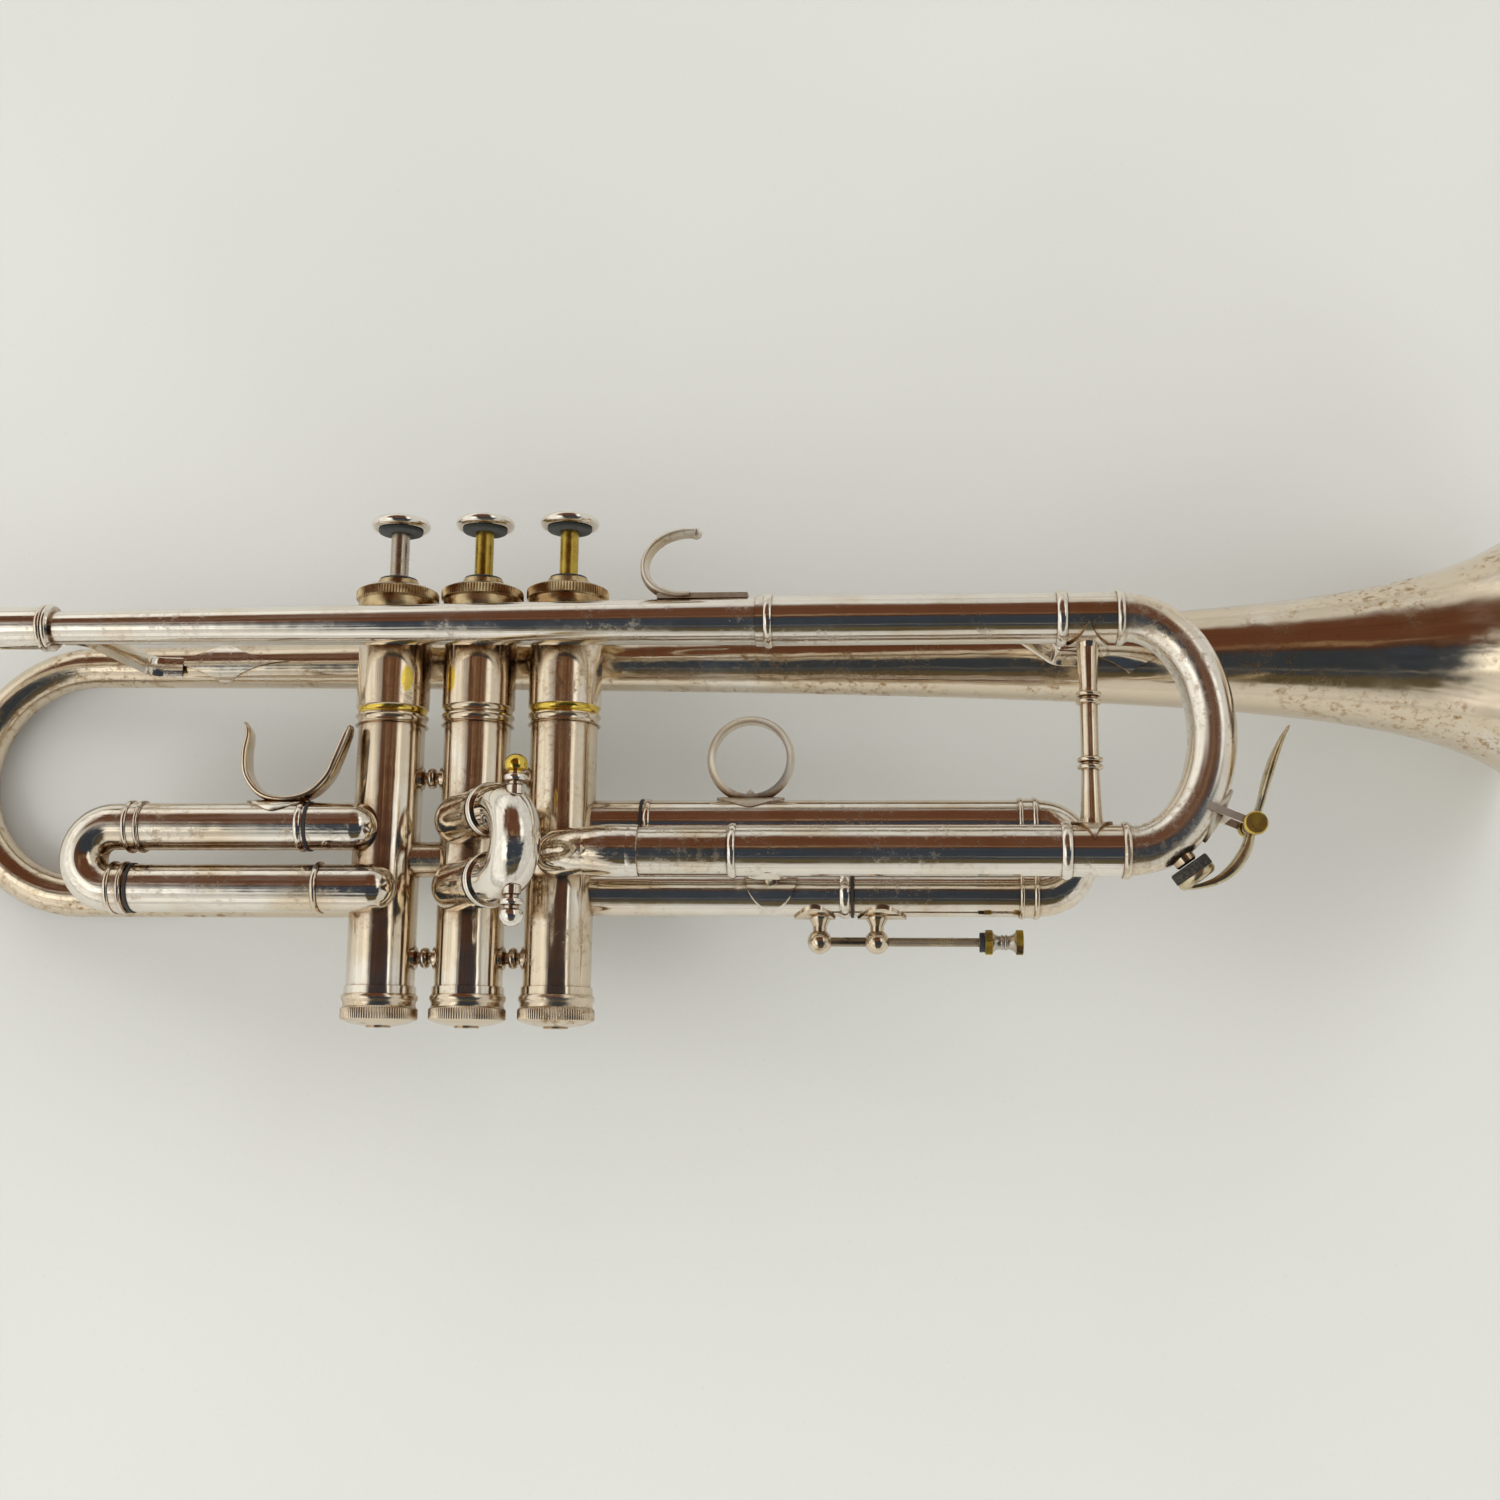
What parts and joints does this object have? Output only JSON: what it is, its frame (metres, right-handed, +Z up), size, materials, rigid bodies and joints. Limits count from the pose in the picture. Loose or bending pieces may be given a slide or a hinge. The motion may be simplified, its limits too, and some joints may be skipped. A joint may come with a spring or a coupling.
{
  "type": "trumpet",
  "caption": "Piston-valve trumpet with pull-out slides, water key, finger ring, thumb saddle and mouthpiece, lying on its side.",
  "frame": {"origin": "on the ground, under the middle of the instrument's box as it lies on its left side", "axes": "+X runs towards the bell mouth along the instrument, +Y towards the finger buttons, +Z up; the instrument lies with its bell rim and the back bend of the bell on the ground, so its tubes slope by about seven degrees"},
  "size_m": [0.5581, 0.1686, 0.1227],
  "materials": {
    "silver_plate": "silver plate over brass, worn and lightly tarnished",
    "worn_plate": "plate worn through to yellow brass on its edges",
    "bare_brass": "bare dull brass",
    "nickel_alloy": "lapped nickel alloy",
    "spring_steel": "drawn wire",
    "black_rubber": "matt rubber",
    "dark_cork": "matt cork"
  },
  "bodies": {
    "instrument": {"bell": "silver_plate", "leadpipe": "silver_plate", "mouthpiece_receiver": "silver_plate", "leadpipe_ferrule": "silver_plate", "main_slide_outer_upper": "silver_plate", "main_slide_outer_lower": "silver_plate", "valve_entry_tube": "silver_plate", "valve_casing_1": "silver_plate", "valve_casing_2": "silver_plate", "valve_casing_3": "silver_plate", "top_caps": "worn_plate", "bottom_caps": "worn_plate", "valve_guides": "bare_brass", "valve_spring_1": "spring_steel", "valve_spring_2": "spring_steel", "valve_spring_3": "spring_steel", "crossover_tubes": "silver_plate", "valve_braces": "silver_plate", "first_slide_inner_upper": "silver_plate", "first_slide_outer_lower": "silver_plate", "second_slide_sockets": "silver_plate", "third_slide_inner_upper": "silver_plate", "third_slide_outer_lower": "silver_plate", "rear_bell_brace": "silver_plate", "front_bell_brace": "silver_plate", "pinky_hook": "silver_plate", "third_slide_brace": "silver_plate", "stop_rod_post": "silver_plate", "stop_rod": "bare_brass", "slide_bumpers": "black_rubber"},
    "valve_1": {"piston_1": "nickel_alloy", "valve_stem_1": "nickel_alloy", "finger_button_1": "silver_plate"},
    "valve_2": {"piston_2": "nickel_alloy", "valve_stem_2": "bare_brass", "finger_button_2": "silver_plate"},
    "valve_3": {"piston_3": "nickel_alloy", "valve_stem_3": "bare_brass", "finger_button_3": "silver_plate"},
    "main_slide": {"main_slide_legs": "silver_plate", "main_slide_bow": "silver_plate", "main_slide_brace": "silver_plate", "water_key_saddle": "silver_plate", "water_key_screw": "worn_plate", "water_key_nipple": "silver_plate", "water_key_spring": "spring_steel"},
    "water_key": {"water_key_lever": "silver_plate", "water_key_cork": "dark_cork"},
    "first_slide": {"first_slide_legs": "silver_plate", "first_slide_crook": "silver_plate", "thumb_saddle": "silver_plate"},
    "second_slide": {"second_slide_legs": "silver_plate", "second_slide_crook": "silver_plate", "second_slide_knobs": "worn_plate"},
    "third_slide": {"third_slide_legs": "silver_plate", "third_slide_crook": "silver_plate", "finger_ring": "silver_plate", "stop_rod_guide": "silver_plate"},
    "stop_nut": {"stop_nut": "worn_plate"},
    "mouthpiece": {"mouthpiece": "silver_plate"}
  },
  "joints": [
    {"name": "valve_1_press", "type": "slide", "parent": "instrument", "child": "valve_1", "axis": [0, -0.9997, -0.0236], "range_m": [0, 0.013], "stiffness_N_per_m": 160, "springref_m": -0.016, "deforming": ["valve_spring_1"]},
    {"name": "valve_2_press", "type": "slide", "parent": "instrument", "child": "valve_2", "axis": [0, -0.9997, -0.0236], "range_m": [0, 0.013], "stiffness_N_per_m": 160, "springref_m": -0.016, "deforming": ["valve_spring_2"]},
    {"name": "valve_3_press", "type": "slide", "parent": "instrument", "child": "valve_3", "axis": [0, -0.9997, -0.0236], "range_m": [0, 0.013], "stiffness_N_per_m": 160, "springref_m": -0.016, "deforming": ["valve_spring_3"]},
    {"name": "main_slide_pull", "type": "slide", "parent": "instrument", "child": "main_slide", "axis": [0.9932, -0.0028, 0.1168], "range_m": [0, 0.035]},
    {"name": "water_key_open", "type": "hinge", "parent": "main_slide", "child": "water_key", "pos_m": [0.16757, -0.03166, 0.08401], "axis": [-0.1168, -0.0234, 0.9929], "range_deg": [0, 20], "stiffness_Nm_per_rad": 0.05, "springref_deg": -28.65, "deforming": ["water_key_spring"]},
    {"name": "first_slide_pull", "type": "slide", "parent": "instrument", "child": "first_slide", "axis": [-0.9932, 0.0028, -0.1168], "range_m": [0, 0.022]},
    {"name": "second_slide_pull", "type": "slide", "parent": "instrument", "child": "second_slide", "axis": [0.5194, -0.0201, 0.8543], "range_m": [0, 0.012]},
    {"name": "third_slide_pull", "type": "slide", "parent": "instrument", "child": "third_slide", "axis": [0.9932, -0.0028, 0.1168], "range_m": [0, 0.0245]},
    {"name": "stop_nut_turn", "type": "hinge", "parent": "instrument", "child": "stop_nut", "pos_m": [0.10664, -0.06011, 0.05602], "axis": [0.9932, -0.0028, 0.1168], "continuous": true},
    {"name": "mouthpiece_pull", "type": "slide", "parent": "instrument", "child": "mouthpiece", "axis": [-0.9932, 0.0028, -0.1168], "range_m": [0, 0.025]}
  ]
}
